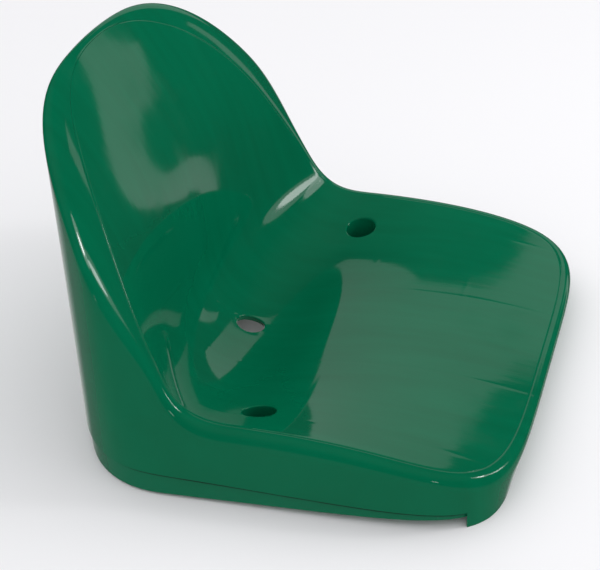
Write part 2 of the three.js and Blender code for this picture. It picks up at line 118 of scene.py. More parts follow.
def walkProfile():
    # the rim's side profile, walked forward and upward from the fold
    tables = []
    for reach in (-face["forward"] - overrun, face["upward"] + overrun):
        v = np.linspace(0, reach, search["profileSteps"] + 1)
        angle = profileAngle((v[1:] + v[:-1]) / 2)
        step = np.diff(v)
        y = face["foldY"] + np.concatenate([[0], np.cumsum(np.cos(angle) * step)])
        z = face["foldHeight"] + np.concatenate([[0], np.cumsum(np.sin(angle) * step)])
        tables.append(np.stack([v, y, z]))
    return np.concatenate([tables[0][:, :0:-1], tables[1]], axis=1)


profileTable = walkProfile()


def dishDepth(v):
    depths = np.array(face["dish"], float)
    t = np.clip((1 + np.where(v < 0, v / face["forward"], v / face["upward"])) / 2, 0, 1) * 4
    i = np.minimum(t.astype(int), 3)
    w = t - i
    p = [depths[np.clip(i + k, 0, 4)] for k in (-1, 0, 1, 2)]
    p[0] = np.where(i == 0, depths[0], p[0])
    p[3] = np.where(i + 2 > 4, depths[4], p[3])
    a, b = (p[2] - p[0]) / 2, (p[3] - p[1]) / 2
    return (2 * p[1] - 2 * p[2] + a + b) * w ** 3 + (-3 * p[1] + 3 * p[2] - 2 * a - b) * w ** 2 + a * w + p[1]


def rimNormal(v):
    angle = profileAngle(v)
    return np.stack([np.zeros_like(angle), -np.sin(angle), np.cos(angle)], -1)


def facePoint(x, v):
    x, v = np.broadcast_arrays(np.asarray(x, float), np.asarray(v, float))
    power = mix(face["seatPower"], face["backPower"], smooth((v + face["dishStart"]) / face["dishLength"]))
    depth = dishDepth(v) * (1 - (np.abs(x) / face["halfWidth"]) ** power)
    level, along = face["level"], v + face["level"]["along"]
    length = np.where(along < 0, level["front"], level["rear"])
    depth = depth + level["tilt"] * along * np.exp(-(along / length) ** 2 - (x / level["width"]) ** 2)
    y = np.interp(v, profileTable[0], profileTable[1])
    z = np.interp(v, profileTable[0], profileTable[2])
    return np.stack([x, y, z], -1) - rimNormal(v) * depth[..., None]


def faceNormal(x, v):
    probe = search["faceProbe"]
    across = facePoint(x + probe, v) - facePoint(x - probe, v)
    upward = facePoint(x, v + probe) - facePoint(x, v - probe)
    return unit(np.cross(across, upward))


def seatHeight(x, y):
    # height of the sitting face over a point of the pan, found by halving
    low, high = np.full(np.shape(x), search["lowest"]), np.full(np.shape(x), search["highest"])
    for i in range(search["halvings"]):
        middle = (low + high) / 2
        behind = facePoint(x, middle)[..., 1] > y
        low, high = np.where(behind, low, middle), np.where(behind, middle, high)
    return facePoint(x, (low + high) / 2)[..., 2]


def outlineReach(angle, halfWidth, forward, rearward, shape):
    front = np.sin(angle) < 0
    across = np.abs(np.cos(angle)) / halfWidth
    along = np.abs(np.sin(angle)) / np.where(front, forward, rearward)
    side = np.where(front, shape["sideFront"], shape["sideRear"])
    end = np.where(front, shape["endFront"], shape["endRear"])
    reach = 1 / np.maximum(across, along)
    for i in range(search["newtonSteps"]):
        a, b = (reach * across) ** end, (reach * along) ** side
        reach = reach - reach * (a + b - 1) / (end * a + side * b)
    return reach


def basePoint(angle):
    reach = outlineReach(angle, base["halfWidth"], base["forward"], base["rearward"], base["shape"])
    along = reach * np.sin(angle)
    narrowing = 1 + base["taper"] * np.minimum(along, 0) / base["forward"]
    return np.stack([reach * np.cos(angle) * narrowing, base["centreY"] + along, 0 * angle], -1)


def baseNormal(angle):
    probe = search["angleProbe"]
    tangent = unit(basePoint(angle + probe) - basePoint(angle - probe))
    return np.stack([tangent[..., 1], -tangent[..., 0], 0 * angle], -1)


def layOutSectors(count):
    turn = np.arange(count) / count * 2 * np.pi
    rise = np.where(np.sin(turn) < -1e-9, face["forward"], face["upward"])
    angle = np.arctan2(rise * np.sin(turn), face["halfWidth"] * np.cos(turn))
    reach = outlineReach(angle, face["halfWidth"], face["forward"], face["upward"], face["shape"])
    s = {"x": reach * np.cos(angle), "v": reach * np.sin(angle)}
    s["crease"] = facePoint(s["x"], s["v"])
    normal = rimNormal(s["v"])
    tangent = unit(np.roll(s["crease"], -1, 0) - np.roll(s["crease"], 1, 0))
    growth = smooth((s["crease"][:, 2] - face["foldHeight"] - rim["growthStart"]) / rim["growthLength"])
    arm = smooth(np.abs(s["x"]) / (face["halfWidth"] * rim["armShare"]))
    for name in ("flange", "reach", "drop"):
        seat, back, top = rim[name]
        s[name] = mix(seat, mix(top, back, arm), growth)[:, None]
    direction = np.arctan2(s["crease"][:, 1] - base["centreY"], s["crease"][:, 0])
    s["outward"] = unit(np.cross(tangent, normal))
    s["base"], s["baseNormal"] = basePoint(direction), baseNormal(direction)
    s["down"] = unit(s["base"] - s["crease"] - s["outward"] * (s["flange"] + s["reach"]))
    s["dropShare"] = -1 / np.sum(s["down"] * normal, 1, keepdims=True)
    s["reachShare"] = 1 / np.linalg.norm(np.cross(s["down"], s["outward"]), axis=1, keepdims=True)
    return s


sectors = layOutSectors(shell["sectors"])


def rollPoint(turn, depth):
    s = sectors
    reach = s["flange"] + (s["reach"] - depth * s["reachShare"]) * np.sin(turn)
    drop = s["drop"] - (s["drop"] - depth * s["dropShare"]) * np.cos(turn)
    return s["crease"] + s["outward"] * reach + s["down"] * drop


def skirtPoint(share, depth):
    head = rollPoint(np.pi / 2, depth)
    foot = sectors["base"] - sectors["baseNormal"] * depth
    return mix(head, foot, share * (1 - footHeight / head[:, 2:3]))


def faceRing(share, depth):
    x, v = share * sectors["x"], share * sectors["v"]
    return facePoint(x, v) - faceNormal(x, v) * depth


def footRing(depth, height):
    ring = sectors["base"] - sectors["baseNormal"] * depth
    ring[:, 2] = height
    return ring


# Mesh tools

def finishMesh(name, bm):
    mesh = bpy.data.meshes.new(name)
    bm.to_mesh(mesh)
    bm.free()
    piece = bpy.data.objects.new(name, mesh)
    bpy.context.scene.collection.objects.link(piece)
    return piece


def wrapRings(name, rings):
    # a grid bent round into a closed body. A ring that is a single point becomes a pole
    count = max(len(ring) for ring in rings if np.ndim(ring) == 2)
    places = np.array([np.broadcast_to(ring, (count, 3)) for ring in rings])
    bm = bmesh.new()
    bmesh.ops.create_grid(bm, x_segments=count, y_segments=len(places) - 1, size=1)
    for vert in bm.verts:
        i = round((vert.co.x + 1) / 2 * count) % count
        k = round((vert.co.y + 1) / 2 * (len(places) - 1))
        vert.co = places[k, i]
    bmesh.ops.remove_doubles(bm, verts=bm.verts, dist=search["weld"])
    bmesh.ops.recalc_face_normals(bm, faces=bm.faces)
    if bm.calc_volume(signed=True) < 0:
        bmesh.ops.reverse_faces(bm, faces=bm.faces)
    return finishMesh(name, bm)


def block(low, high):
    bm = bmesh.new()
    middle, size = (Vector(low) + Vector(high)) / 2, Vector(high) - Vector(low)
    bmesh.ops.create_cube(bm, size=1, matrix=Matrix.Translation(middle) @ Matrix.Diagonal((*size, 1)))
    return finishMesh("block", bm)


def rod(diameter, low, high, x, y, kind="bore"):
    bm = bmesh.new()
    place = Matrix.Translation((x, y, (low + high) / 2))
    bmesh.ops.create_cone(
        bm, cap_ends=True, segments=roundness[kind], radius1=diameter / 2, radius2=diameter / 2,
        depth=high - low, matrix=place,
    )
    return finishMesh("rod", bm)


def slab(low, high):
    width = base["halfWidth"] + margin
    return block((-width, frontY - margin, low), (width, rearY + margin, high))


def seamHeight(y):
    rise = (shell["notchSeam"] - shell["rearSeam"]) / (rearY - shell["notchY"])
    return shell["rearSeam"] + rise * (rearY - y)


def underSeam(startY, rise):
    # a block whose top follows the seam
    width = base["halfWidth"] + margin
    piece = block((-width, startY, footHeight - overrun), (width, rearY + margin, 0))
    for vert in piece.data.vertices:
        if vert.co.z > footHeight:
            vert.co.z = seamHeight(vert.co.y) + rise
    return piece


def combine(piece, tools, how):
    for tool in tools:
        step = piece.modifiers.new(how, "BOOLEAN")
        step.operation = how
        step.object = tool
        step.solver = "MANIFOLD"
    graph = bpy.context.evaluated_depsgraph_get()
    mesh = bpy.data.meshes.new_from_object(piece.evaluated_get(graph))
    piece.modifiers.clear()
    piece.data = mesh
    for tool in tools:
        bpy.data.objects.remove(tool)
    return piece


def join(pieces):
    return combine(pieces[0], pieces[1:], "UNION")


def cut(piece, *tools):
    return combine(piece, tools, "DIFFERENCE")


def trim(piece, *tools):
    return combine(piece, tools, "INTERSECT")


# Skins of the seat at a depth under its outer surface

def skinRings(depth):
    inner = depth > 0
    count = shell["innerRings"] if inner else shell["faceRings"]
    reach = shell["innerShare"] if inner else 1
    rings = [faceRing(shell["middleShare"], depth)]
    for i in range(1, count + 1):
        rings.append(faceRing((1 - (1 - i / count) ** shell["crowding"]) * reach, depth))
    edge = rollPoint(0, depth)
    if not inner:
        for i in range(1, shell["flangeRings"] + 1):
            rings.append(mix(rings[count], edge, i / (shell["flangeRings"] + 1)))
    for i in range(shell["rollRings"] + 1):
        rings.append(rollPoint(i / shell["rollRings"] * np.pi / 2, depth))
    if not inner:
        before, after = rim["softened"]
        rings = soften(rings, count - before, count + shell["flangeRings"] + after)
        groove = mix(rings[count], rings[count + 1], 0.5) - rimNormal(sectors["v"]) * rim["grooveDepth"]
        rings.insert(count + 1, groove)
    for i in range(1, shell["skirtRings"] + 1):
        rings.append(skirtPoint(i / shell["skirtRings"], depth))
    return rings


def soften(rings, first, last):
    stack = np.array(rings)
    for i in range(rim["creaseSoftness"]):
        blurred = (stack[:-2] + 2 * stack[1:-1] + stack[2:]) / 4
        stack[first:last] = blurred[first - 1:last - 1]
    return list(stack)


def filledSkin(depth, name="skin"):
    middle = facePoint(0, 0) - faceNormal(0, 0) * depth
    return wrapRings(name, [middle, *skinRings(depth), np.array([0, base["centreY"], footHeight])])


def column(name, depth, low, high):
    # straight up through the seat, with the foot's outline at a depth
    ends = [np.array([0, base["centreY"], height]) for height in (high, low)]
    return wrapRings(name, [ends[0], footRing(depth, high), footRing(depth, low), ends[1]])


def straightCore(depth):
    return column("core", depth, footHeight - overrun, aboveAll)


# Places shared by the shell, the frame and the hardware

anchor = {
    "x": 158.1, "along": 47.1, "bore": 26, "wall": 3, "floor": 3, "lip": 1.4,
    "bushTube": 14, "bushRoom": 30,  # the bush's outer diameter and the height its room is cut to
}
mouth = {"floorRound": 0.6, "steps": 8, "turn": 78, "creep": 0.02, "spread": 1.9}
drain = {"along": 9.9, "bore": 23, "lip": 1.2}
ribs = {
    "thickness": 2.4, "foot": 12.5, "rearY": 88, "midX": 62, "sideX": 170, "frontY": -86, "middleY": -1,
}
lower = {
    "bandInset": 2.5, "spigot": 2.4, "spigotHeight": 7, "panClear": 14, "plate": 3, "flange": 24,
    "pad": 44, "padHeight": 11, "padWall": 2.4, "padTube": 21, "spokes": 3,
    "crossWidth": 26, "crossHeight": 9, "crossWall": 2.4,
}
screw = {
    "inset": 13, "column": 12, "columnHeight": 9, "roof": 3, "boss": 10, "bossTop": 37,
    "shank": 3.6, "length": 12, "head": 7.6, "shankRoom": 20,
    "places": {"front": -58, "side": 8, "rear": 50},
}
clear = 0.3

anchorY = float(facePoint(anchor["x"], -anchor["along"])[1])
drainY = float(facePoint(0, -drain["along"])[1])
anchorFloor = lower["padHeight"] + clear + anchor["floor"]
bossFoot = screw["columnHeight"] + clear
screwSeat = screw["columnHeight"] - screw["roof"]
spigotOuter = shell["wall"] + clear
spigotInner = spigotOuter + lower["spigot"]
sides = (-1, 1)

screwSpots = []
for place, degrees in screw["places"].items():
    direction = np.radians(float(degrees))
    outward = baseNormal(direction)
    x, y = (basePoint(direction) - outward * screw["inset"])[:2]
    facing = math.atan2(outward[1], outward[0])
    screwSpots.append(("screw_" + place + "_right", float(x), float(y), facing))
    screwSpots.append(("screw_" + place + "_left", -float(x), float(y), math.pi - facing))


# Seat shell

def mouthCutter(x, y, bore, lip, floor):
    # a bore whose mouth opens in a small radius that follows the pan
    count, radius, small = roundness["bore"], bore / 2, mouth["floorRound"]
    turn = np.arange(count) / count * 2 * np.pi

    def ring(reach, height=None, offset=0):
        px, py = x + reach * np.cos(turn), y + reach * np.sin(turn)
        pz = seatHeight(px, py) + offset if height is None else np.full(count, float(height))
        return np.stack([px, py, pz], -1)

    rings = [np.array([x, y, floor]), ring(radius - small, floor), ring(radius, floor + small)]
    for i in range(mouth["steps"] + 1):
        share = i / mouth["steps"]
        a = math.radians(mouth["turn"]) * share
        lift = lip * (math.sin(a) - 1) + mouth["creep"] * share
        rings.append(ring(radius + lip * (1 - math.cos(a)), offset=lift))
    wide = radius + lip * mouth["spread"]
    rings.append(ring(wide, offset=lip))
    rings.append(ring(wide, height=aboveAll))
    rings.append(np.array([x, y, aboveAll]))
    return wrapRings("mouth", rings)


def ribGrid():
    half = ribs["thickness"] / 2
    low, high, wide = ribs["foot"], face["foldHeight"], base["halfWidth"]
    pieces = []
    for side in sides:
        for x, endY in ((side * ribs["midX"], ribs["rearY"]), (side * ribs["sideX"], anchorY)):
            pieces.append(block((x - half, frontY, low), (x + half, endY, high)))
    for y in (ribs["frontY"], ribs["middleY"]):
        pieces.append(block((-wide, y - half, low), (wide, y + half, high)))
    return pieces


def screwBoss(x, y, facing):
    top, web = screw["bossTop"], ribs["thickness"]
    boss = rod(screw["boss"], bossFoot, top, x, y, "post")
    arm = block((0, -web / 2, bossFoot), (screw["inset"], web / 2, top))
    arm.data.transform(Matrix.Translation((x, y, 0)) @ Matrix.Rotation(facing, 4, "Z"))
    return [boss, arm]


def atAnchors(diameter, low, high):
    return [rod(diameter, low, high, side * anchor["x"], anchorY) for side in sides]


def atScrews(diameter, low, high, kind):
    return [rod(diameter, low, high, x, y, kind) for name, x, y, facing in screwSpots]


def makeShell():
    skin = cut(filledSkin(0, "seat_shell_surface"), filledSkin(shell["wall"]))
    skin = trim(skin, slab(-shell["lipDrop"], aboveAll + margin))
    # the skirt is cut off at the seam, the pan inside it keeps its full wall
    skin = cut(skin, cut(underSeam(shell["notchY"], 0), straightCore(lower["panClear"])))
    parts = ribGrid()
    cupBore = anchor["bore"] + 2 * anchor["wall"]
    parts += atAnchors(cupBore, anchorFloor - anchor["floor"], face["foldHeight"])
    for name, x, y, facing in screwSpots:
        parts += screwBoss(x, y, facing)
    stiffening = trim(join(parts), filledSkin(shell["wall"] / 2))
    room = cut(filledSkin(0), filledSkin(spigotInner + clear), straightCore(lower["panClear"]))
    roomTop = underSeam(frontY - margin, lower["spigotHeight"] + clear)
    stiffening = cut(stiffening, trim(room, slab(footHeight, screw["bossTop"]), roomTop))
    tools = [mouthCutter(0, drainY, drain["bore"], drain["lip"], -overrun)]
    for side in sides:
        tools.append(mouthCutter(side * anchor["x"], anchorY, anchor["bore"], anchor["lip"], anchorFloor))
    tools += atAnchors(anchor["bushTube"] + 2 * clear, -overrun, anchor["bushRoom"])
    tools += atScrews(screw["shank"] + clear, 0, screwSeat + screw["length"] + clear, "pin")
    return cut(join([skin, stiffening]), *tools)


# Base frame

def frameBand():
    high = shell["rearSeam"] + lower["spigotHeight"]
    core = lower["panClear"]
    band = filledSkin(lower["bandInset"], "base_frame_surface")
    band = cut(band, filledSkin(spigotInner), straightCore(core))
    band = trim(band, slab(-overrun, high), underSeam(shell["notchY"] + shell["gap"], -shell["gap"]))
    spigot = cut(filledSkin(spigotOuter), filledSkin(spigotInner), straightCore(core))
    spigot = trim(spigot, slab(-overrun, high), underSeam(frontY, lower["spigotHeight"]))
    return join([band, spigot])


def framePlate():
    plate = trim(filledSkin(spigotOuter + lower["spigot"] / 2), slab(-overrun, lower["plate"]))
    return cut(plate, column("window", lower["flange"], footHeight, lower["plate"] + overrun))


def anchorPad(side):
    x, edge = side * anchor["x"], side * (base["halfWidth"] - lower["flange"] / 2)
    reach, top, wall = lower["pad"] / 2, lower["padHeight"], lower["padWall"]
    web = block((min(x, edge), anchorY - reach, -overrun), (max(x, edge), anchorY + reach, lower["plate"]))
    hollow = rod(lower["pad"] - 2 * wall, lower["plate"], top + overrun, x, anchorY)
    outer = cut(rod(lower["pad"], -overrun, top, x, anchorY), hollow)
    parts = [web, outer, rod(lower["padTube"], -overrun, top, x, anchorY)]
    for i in range(lower["spokes"]):
        spoke = block((-reach + wall / 2, -wall / 2, 0), (reach - wall / 2, wall / 2, top))
        turned = Matrix.Rotation(i * math.pi / lower["spokes"], 4, "Z")
        spoke.data.transform(Matrix.Translation((x, anchorY, 0)) @ turned)
        parts.append(spoke)
    return join(parts)


def crossMember():
    half, reach, wall = lower["crossWidth"] / 2, anchor["x"], lower["crossWall"]
    parts = [
        block((-reach, anchorY - half, -overrun), (reach, anchorY + half, lower["plate"])),
        block((-reach, anchorY - half, -overrun), (reach, anchorY - half + wall, lower["crossHeight"])),
        block((-reach, anchorY + half - wall, -overrun), (reach, anchorY + half, lower["crossHeight"])),
    ]
    inner = lower["pad"] - 2 * lower["padWall"]
    return cut(join(parts), *atAnchors(inner, lower["plate"], lower["padHeight"] + overrun))


def makeFrame():
    parts = [frameBand(), framePlate(), crossMember(), *[anchorPad(side) for side in sides]]
    body = join([*parts, *atScrews(screw["column"], -overrun, screw["columnHeight"], "post")])
    tools = atAnchors(anchor["bushTube"] + 2 * clear, -overrun, anchor["bushRoom"])
    tools += atScrews(screw["head"] + 2 * clear, -overrun, screwSeat, "post")
    tools += atScrews(screw["shank"] + 2 * clear, 0, screw["shankRoom"], "pin")
    return trim(cut(body, *tools), slab(0, aboveAll))


def settle(piece, node):
    # into the rest pose, smooth with sharp edges, and in place of its node
    piece.data.transform(restMatrix)
    piece.data.materials.clear()
    piece.data.shade_smooth()
    piece.data.set_sharp_from_angle(angle=math.radians(rest["sharpAngle"]))
    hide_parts(node)
    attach(piece, "root")
    print(piece.name, "triangles:", sum(len(p.vertices) - 2 for p in piece.data.polygons))
    return piece


seatShell = settle(makeShell(), "seat_shell")
print("seat shell made")
baseFrame = settle(makeFrame(), "base_frame")
print("base frame made")


# Finishes

def newMaterial(name):
    material = bpy.data.materials.new(name)
    material.use_nodes = True
    return material, material.node_tree.nodes, material.node_tree.links


def connect(links, socket, value):
    if isinstance(value, (int, float)):
        socket.default_value = value
    elif isinstance(value, tuple):
        socket.default_value = (*value, 1) if socket.type == "RGBA" else value
    else:
        links.new(value, socket)


def calculate(group, operation, a, b=0.0, clamp=False):
    node = group.nodes.new("ShaderNodeMath")
    node.operation, node.use_clamp = operation, clamp
    connect(group.links, node.inputs[0], a)
    connect(group.links, node.inputs[1], b)
    return node.outputs[0]


def noise(group, place, grain):
    # noise over the object, stretched by different scales along X, Y and Z
    stretch, scale, detail = grain
    mapping, texture = group.nodes.new("ShaderNodeMapping"), group.nodes.new("ShaderNodeTexNoise")
    mapping.inputs["Scale"].default_value = stretch
    texture.inputs["Scale"].default_value = scale
    texture.inputs["Detail"].default_value = detail
    group.links.new(place, mapping.inputs["Vector"])
    group.links.new(mapping.outputs["Vector"], texture.inputs["Vector"])
    return texture.outputs["Fac"]


def blendColours(group, share, a, b):
    node = group.nodes.new("ShaderNodeMix")
    node.data_type = "RGBA"
    connect(group.links, node.inputs["Factor"], share)
    connect(group.links, node.inputs["A"], a)
    connect(group.links, node.inputs["B"], b)
    return node.outputs["Result"]


def newGroup(name, inputs, outputs):
    # a node group, with its tools: what it is given, where its results go, its place on the object and its sums
    group = bpy.data.node_groups.new(name, "ShaderNodeTree")
    for side, sockets in (("INPUT", inputs), ("OUTPUT", outputs)):
        for socket in sockets:
            kind = "Color" if "olour" in socket else "Float"
            group.interface.new_socket(name=socket, in_out=side, socket_type="NodeSocket" + kind)
    given, result = group.nodes.new("NodeGroupInput").outputs, group.nodes.new("NodeGroupOutput").inputs
    place = group.nodes.new("ShaderNodeTexCoord").outputs["Object"]
    return group, given, result, place, partial(calculate, group)


def giveOut(group, result, values):
    for name, value in values.items():
        group.links.new(value, result[name])
    return group


# each grain: stretch along X, Y and Z, scale, detail
mouldGrain = {
    "drift": ((1, 1, 1), 7, 3), "flow": ((9, 1.2, 1), 10, 4), "smudge": ((1, 1, 1), 24, 5),
    "scratch": ((150, 5, 6), 14, 1), "streak": ((26, 2, 1.6), 7, 3), "wave": ((1, 1, 1), 38, 2),
    "deepBelow": 0.35, "colourContrast": 3, "smudgeContrast": 5, "scratchAbove": 0.715, "scratchWeight": 0.8,
}


def mouldedSurface():
    # colour drift, polishing streaks, smudges and hairline scratches of a glossy moulding
    group, given, result, place, calc = newGroup(
        "moulded_surface",
        ("Colour", "Deep colour", "Gloss", "Smudge", "Streak height", "Wave height"),
        ("Colour", "Roughness", "Height"),
    )
    drift, flow, smudge, scratch, streak, wave = (
        noise(group, place, mouldGrain[name]) for name in ("drift", "flow", "smudge", "scratch", "streak", "wave")
    )
    share = calc("SUBTRACT", calc("MULTIPLY", calc("ADD", drift, flow), 0.5), mouldGrain["deepBelow"])
    share = calc("MULTIPLY", share, mouldGrain["colourContrast"], clamp=True)
    smudge = calc("MULTIPLY", calc("SUBTRACT", smudge, 0.5), mouldGrain["smudgeContrast"], clamp=True)
    scratch = calc("MULTIPLY", calc("GREATER_THAN", scratch, mouldGrain["scratchAbove"]), mouldGrain["scratchWeight"])
    dull = calc("MULTIPLY", calc("ADD", smudge, scratch), given["Smudge"])
    streak, wave = calc("MULTIPLY", streak, given["Streak height"]), calc("MULTIPLY", wave, given["Wave height"])
    return giveOut(group, result, {
        "Colour": blendColours(group, share, given["Deep colour"], given["Colour"]),
        "Roughness": calc("ADD", given["Gloss"], dull), "Height": calc("ADD", streak, wave),
    })


panTop = {"height": 0.062, "fade": 60}  # the marks fade out under this height of the sitting face, in metres


def ribMarks():
    # faint sinks in the pan over the ribs under it
    group, given, result, place, calc = newGroup("rib_marks", ("Depth", "Width"), ("Height",))
    split = group.nodes.new("ShaderNodeSeparateXYZ")
    group.links.new(place, split.inputs["Vector"])
    across, along, height = split.outputs
    across = calc("ABSOLUTE", across)
    lines = [(across, ribs[name] / 1000) for name in ("midX", "sideX")]
    lines += [(along, (ribs[name] + rest["shiftY"]) / 1000) for name in ("frontY", "middleY")]
    total = 0.0
    for value, line in lines:
        away = calc("DIVIDE", calc("SUBTRACT", value, line), given["Width"])
        bell = calc("POWER", math.e, calc("MULTIPLY", calc("MULTIPLY", away, away), -1.0))
        total = calc("ADD", total, bell)
    low = calc("MULTIPLY", calc("SUBTRACT", panTop["height"], height), panTop["fade"], clamp=True)
    sunk = calc("MULTIPLY", calc("MULTIPLY", total, low), given["Depth"])
    return giveOut(group, result, {"Height": calc("MULTIPLY", sunk, -1.0)})


# uneven edge of the painted shade under the seam
seamShadeGrain = {"uneven": ((1, 1, 1), 45, 3), "waver": 0.0006, "edge": 3}


def seamShade():
    # painted shade: darkens the frame in the step just under the seam, where the shell's edge shades it
    group, given, result, place, calc = newGroup("seam_shade", ("Colour", "Painted shade colour", "Width"), ("Colour",))
    front, rear = (restMatrix @ Vector((0, y, seamHeight(y))) for y in (shell["notchY"], rearY))
    along = (rear - front).normalized()
    upward = Vector((0, -along.z, along.y))
    height = group.nodes.new("ShaderNodeVectorMath")
    height.operation = "DOT_PRODUCT"
    height.inputs[1].default_value = upward
    group.links.new(place, height.inputs[0])
    under = calc("SUBTRACT", upward.dot(front), height.outputs["Value"])
    uneven = calc("MULTIPLY", noise(group, place, seamShadeGrain["uneven"]), seamShadeGrain["waver"])
    share = calc("DIVIDE", calc("ADD", under, uneven), given["Width"])
    shadeMask = calc("MULTIPLY", calc("SUBTRACT", 1.0, share), seamShadeGrain["edge"], clamp=True)
    return giveOut(group, result, {"Colour": blendColours(group, shadeMask, given["Colour"], given["Painted shade colour"])})


zincGrain = {"cloud": ((1, 1, 1), 420, 4), "turned": ((1, 1, 30), 260, 1), "dulling": 0.25, "turnedHeight": 4e-5}


def zincSurface():
    # dull crystalline zinc with fine turning marks
    group, given, result, place, calc = newGroup(
        "zinc_surface", ("Colour", "Dull colour", "Gloss"), ("Colour", "Roughness", "Height"),
    )
    cloud, turned = (noise(group, place, zincGrain[name]) for name in ("cloud", "turned"))
    return giveOut(group, result, {
        "Colour": blendColours(group, cloud, given["Dull colour"], given["Colour"]),
        "Roughness": calc("ADD", given["Gloss"], calc("MULTIPLY", cloud, zincGrain["dulling"])),
        "Height": calc("MULTIPLY", turned, zincGrain["turnedHeight"]),
    })


paperGrain = {"cloud": ((1, 1, 1), 3, 3), "roughness": 0.7, "roughening": 0.2}


def paperSurface():
    group, given, result, place, calc = newGroup(
        "paper_surface", ("Colour", "Fleck colour"), ("Colour", "Roughness"),
    )
    cloud = noise(group, place, paperGrain["cloud"])
    return giveOut(group, result, {
        "Colour": blendColours(group, cloud, given["Colour"], given["Fleck colour"]),
        "Roughness": calc("ADD", calc("MULTIPLY", cloud, paperGrain["roughening"]), paperGrain["roughness"]),
    })


groups = {
    "moulded": mouldedSurface(), "marks": ribMarks(), "seam": seamShade(),
    "zinc": zincSurface(), "paper": paperSurface(),
}


def placeGroup(nodes, links, name, values):
    node = nodes.new("ShaderNodeGroup")
    node.node_tree = groups[name]
    for socket, value in values.items():
        connect(links, node.inputs[socket], value)
    return node


def finish(name, groupName, values, marks=None, seam=None, metallic=0.0):
    material, nodes, links = newMaterial(name)
    shader, bump = nodes["Principled BSDF"], nodes.new("ShaderNodeBump")
    surface = placeGroup(nodes, links, groupName, values)
    colour, height = surface.outputs["Colour"], surface.outputs["Height"]
    # painted shade: the frame's colour is darkened just under the seam
    if seam:
        colour = placeGroup(nodes, links, "seam", {"Colour": colour, **seam}).outputs["Colour"]
    links.new(colour, shader.inputs["Base Color"])
    links.new(surface.outputs["Roughness"], shader.inputs["Roughness"])
    if marks:
        add = nodes.new("ShaderNodeMath")
        links.new(height, add.inputs[0])
        links.new(placeGroup(nodes, links, "marks", marks).outputs["Height"], add.inputs[1])
        height = add.outputs[0]
    bump.inputs["Strength"].default_value = bump.inputs["Distance"].default_value = 1  # heights are in metres
    links.new(height, bump.inputs["Height"])
    links.new(bump.outputs["Normal"], shader.inputs["Normal"])
    shader.inputs["Metallic"].default_value = metallic
    return material


shellFinish = {
    "Colour": (0.0, 0.136, 0.062), "Deep colour": (0.0, 0.113, 0.05), "Gloss": 0.05, "Smudge": 0.05,
    "Streak height": 1.2e-5, "Wave height": 5e-6,
}
frameFinish = {
    "Colour": (0.002, 0.142, 0.068), "Deep colour": (0.002, 0.124, 0.057), "Gloss": 0.13, "Smudge": 0.12,
    "Streak height": 1.5e-5, "Wave height": 1e-5,
}
markFinish = {"Depth": 2.5e-5, "Width": 0.0022}
# colour and width of the painted shade under the seam
seamShadeFinish = {"Painted shade colour": (0.002, 0.018, 0.01), "Width": 0.0031}

seatShell.data.materials.append(finish("shell_gloss_green", "moulded", shellFinish, markFinish))
baseFrame.data.materials.append(finish("frame_green", "moulded", frameFinish, seam=seamShadeFinish))
bushFinish = {"Colour": (0.5, 0.5, 0.48), "Dull colour": (0.34, 0.35, 0.36), "Gloss": 0.24}
screwFinish = {"Colour": (0.6, 0.58, 0.5), "Dull colour": (0.4, 0.4, 0.38), "Gloss": 0.2}
bushZinc = finish("bush_zinc", "zinc", bushFinish, metallic=1)
screwZinc = finish("screw_zinc", "zinc", screwFinish, metallic=1)
for name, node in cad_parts.items():
    if name.startswith(("anchor_bush", "screw")):
        for materialSlot in node.material_slots:
            materialSlot.material = bushZinc if name.startswith("anchor_bush") else screwZinc
print("finishes made")

# Camera at the photograph's place

viewpoint = {
    "azimuth": -73.617, "elevation": 28.535, "roll": -1.181, "distance": 1.37428,
    "lens": 98.41, "sensor": 36, "target": (0, -0.01975, -0.000002),
    "across": 0.027857, "down": 0.046512,  # where the target lies off the middle of the view
}


def towards(azimuth, elevation):
    a, e = math.radians(azimuth), math.radians(elevation)
    return Vector((math.sin(a) * math.cos(e), -math.cos(a) * math.cos(e), math.sin(e)))


def placeCamera():
    back = towards(viewpoint["azimuth"], viewpoint["elevation"])
    roll = math.radians(viewpoint["roll"])
    level = Vector((0, 0, 1)).cross(back).normalized()
    upright = back.cross(level)
    right = level * math.cos(roll) + upright * math.sin(roll)
    up = upright * math.cos(roll) - level * math.sin(roll)
    data = bpy.data.cameras.new("camera")
    data.lens, data.sensor_width = viewpoint["lens"], viewpoint["sensor"]
    camera = bpy.data.objects.new("camera", data)
    shift = back - right * viewpoint["across"] + up * viewpoint["down"]
    spot = Vector(viewpoint["target"]) + shift * viewpoint["distance"]
    camera.matrix_world = Matrix.Translation(spot) @ Matrix((right, up, back)).transposed().to_4x4()
    bpy.context.scene.collection.objects.link(camera)
    bpy.context.scene.camera = camera


placeCamera()

# Floor, room and lamps

